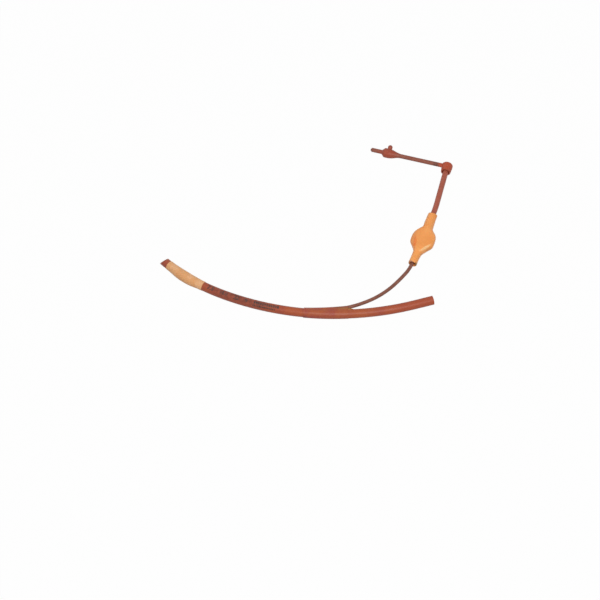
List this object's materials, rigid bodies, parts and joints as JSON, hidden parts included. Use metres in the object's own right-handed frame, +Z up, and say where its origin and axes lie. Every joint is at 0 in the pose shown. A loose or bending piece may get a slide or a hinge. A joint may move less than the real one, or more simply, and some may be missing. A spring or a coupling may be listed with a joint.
{
  "type": "endotracheal tube",
  "caption": "Curved red rubber tracheal tube with a pale cuff at the bevelled tip, an inflation line, an orange pilot balloon and a stopper on a strap.",
  "frame": {"origin": "on the table under the middle of the part's box, the inflation line left out", "axes": "+Z up off the table, +X along the tube's chord from the tip to the machine end, +Y towards the side that the bend opens to"},
  "size_m": [0.3206, 0.244, 0.0127],
  "materials": {
    "red_rubber": "satin",
    "line_rubber": "satin",
    "stopper_rubber": "satin",
    "cuff_latex": "satin",
    "balloon_latex": "satin"
  },
  "bodies": {
    "root": {"main_tube": "red_rubber", "cuff": "cuff_latex", "joint_sleeve": "red_rubber", "inflation_line": "line_rubber", "line_bush": "red_rubber", "pilot_balloon": "balloon_latex", "filling_tube": "stopper_rubber", "stopper": "stopper_rubber"}
  },
  "joints": []
}
